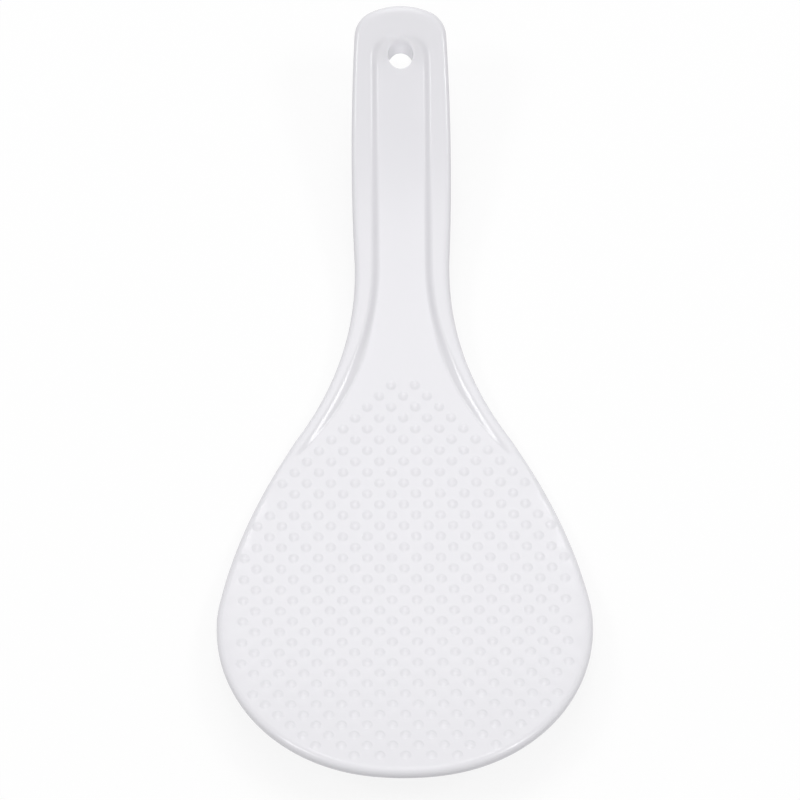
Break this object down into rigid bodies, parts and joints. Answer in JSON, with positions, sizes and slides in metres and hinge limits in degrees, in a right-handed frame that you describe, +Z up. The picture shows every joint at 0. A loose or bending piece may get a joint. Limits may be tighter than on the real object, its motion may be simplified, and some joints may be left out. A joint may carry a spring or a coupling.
{
  "type": "rice paddle",
  "caption": "One-piece bowed plastic rice paddle: broad blade with a field of low bumps, railed channel handle and a hanging hole.",
  "frame": {"origin": "under the middle of the paddle's box, on the table it lies on", "axes": "+Y from the blade's tip to the handle's end, +Z up out of the blade's front, +X across to the right"},
  "size_m": [0.0856, 0.1942, 0.029],
  "materials": {
    "white_plastic": "smooth gloss moulded white"
  },
  "bodies": {
    "root": {"paddle": "white_plastic"}
  },
  "joints": []
}
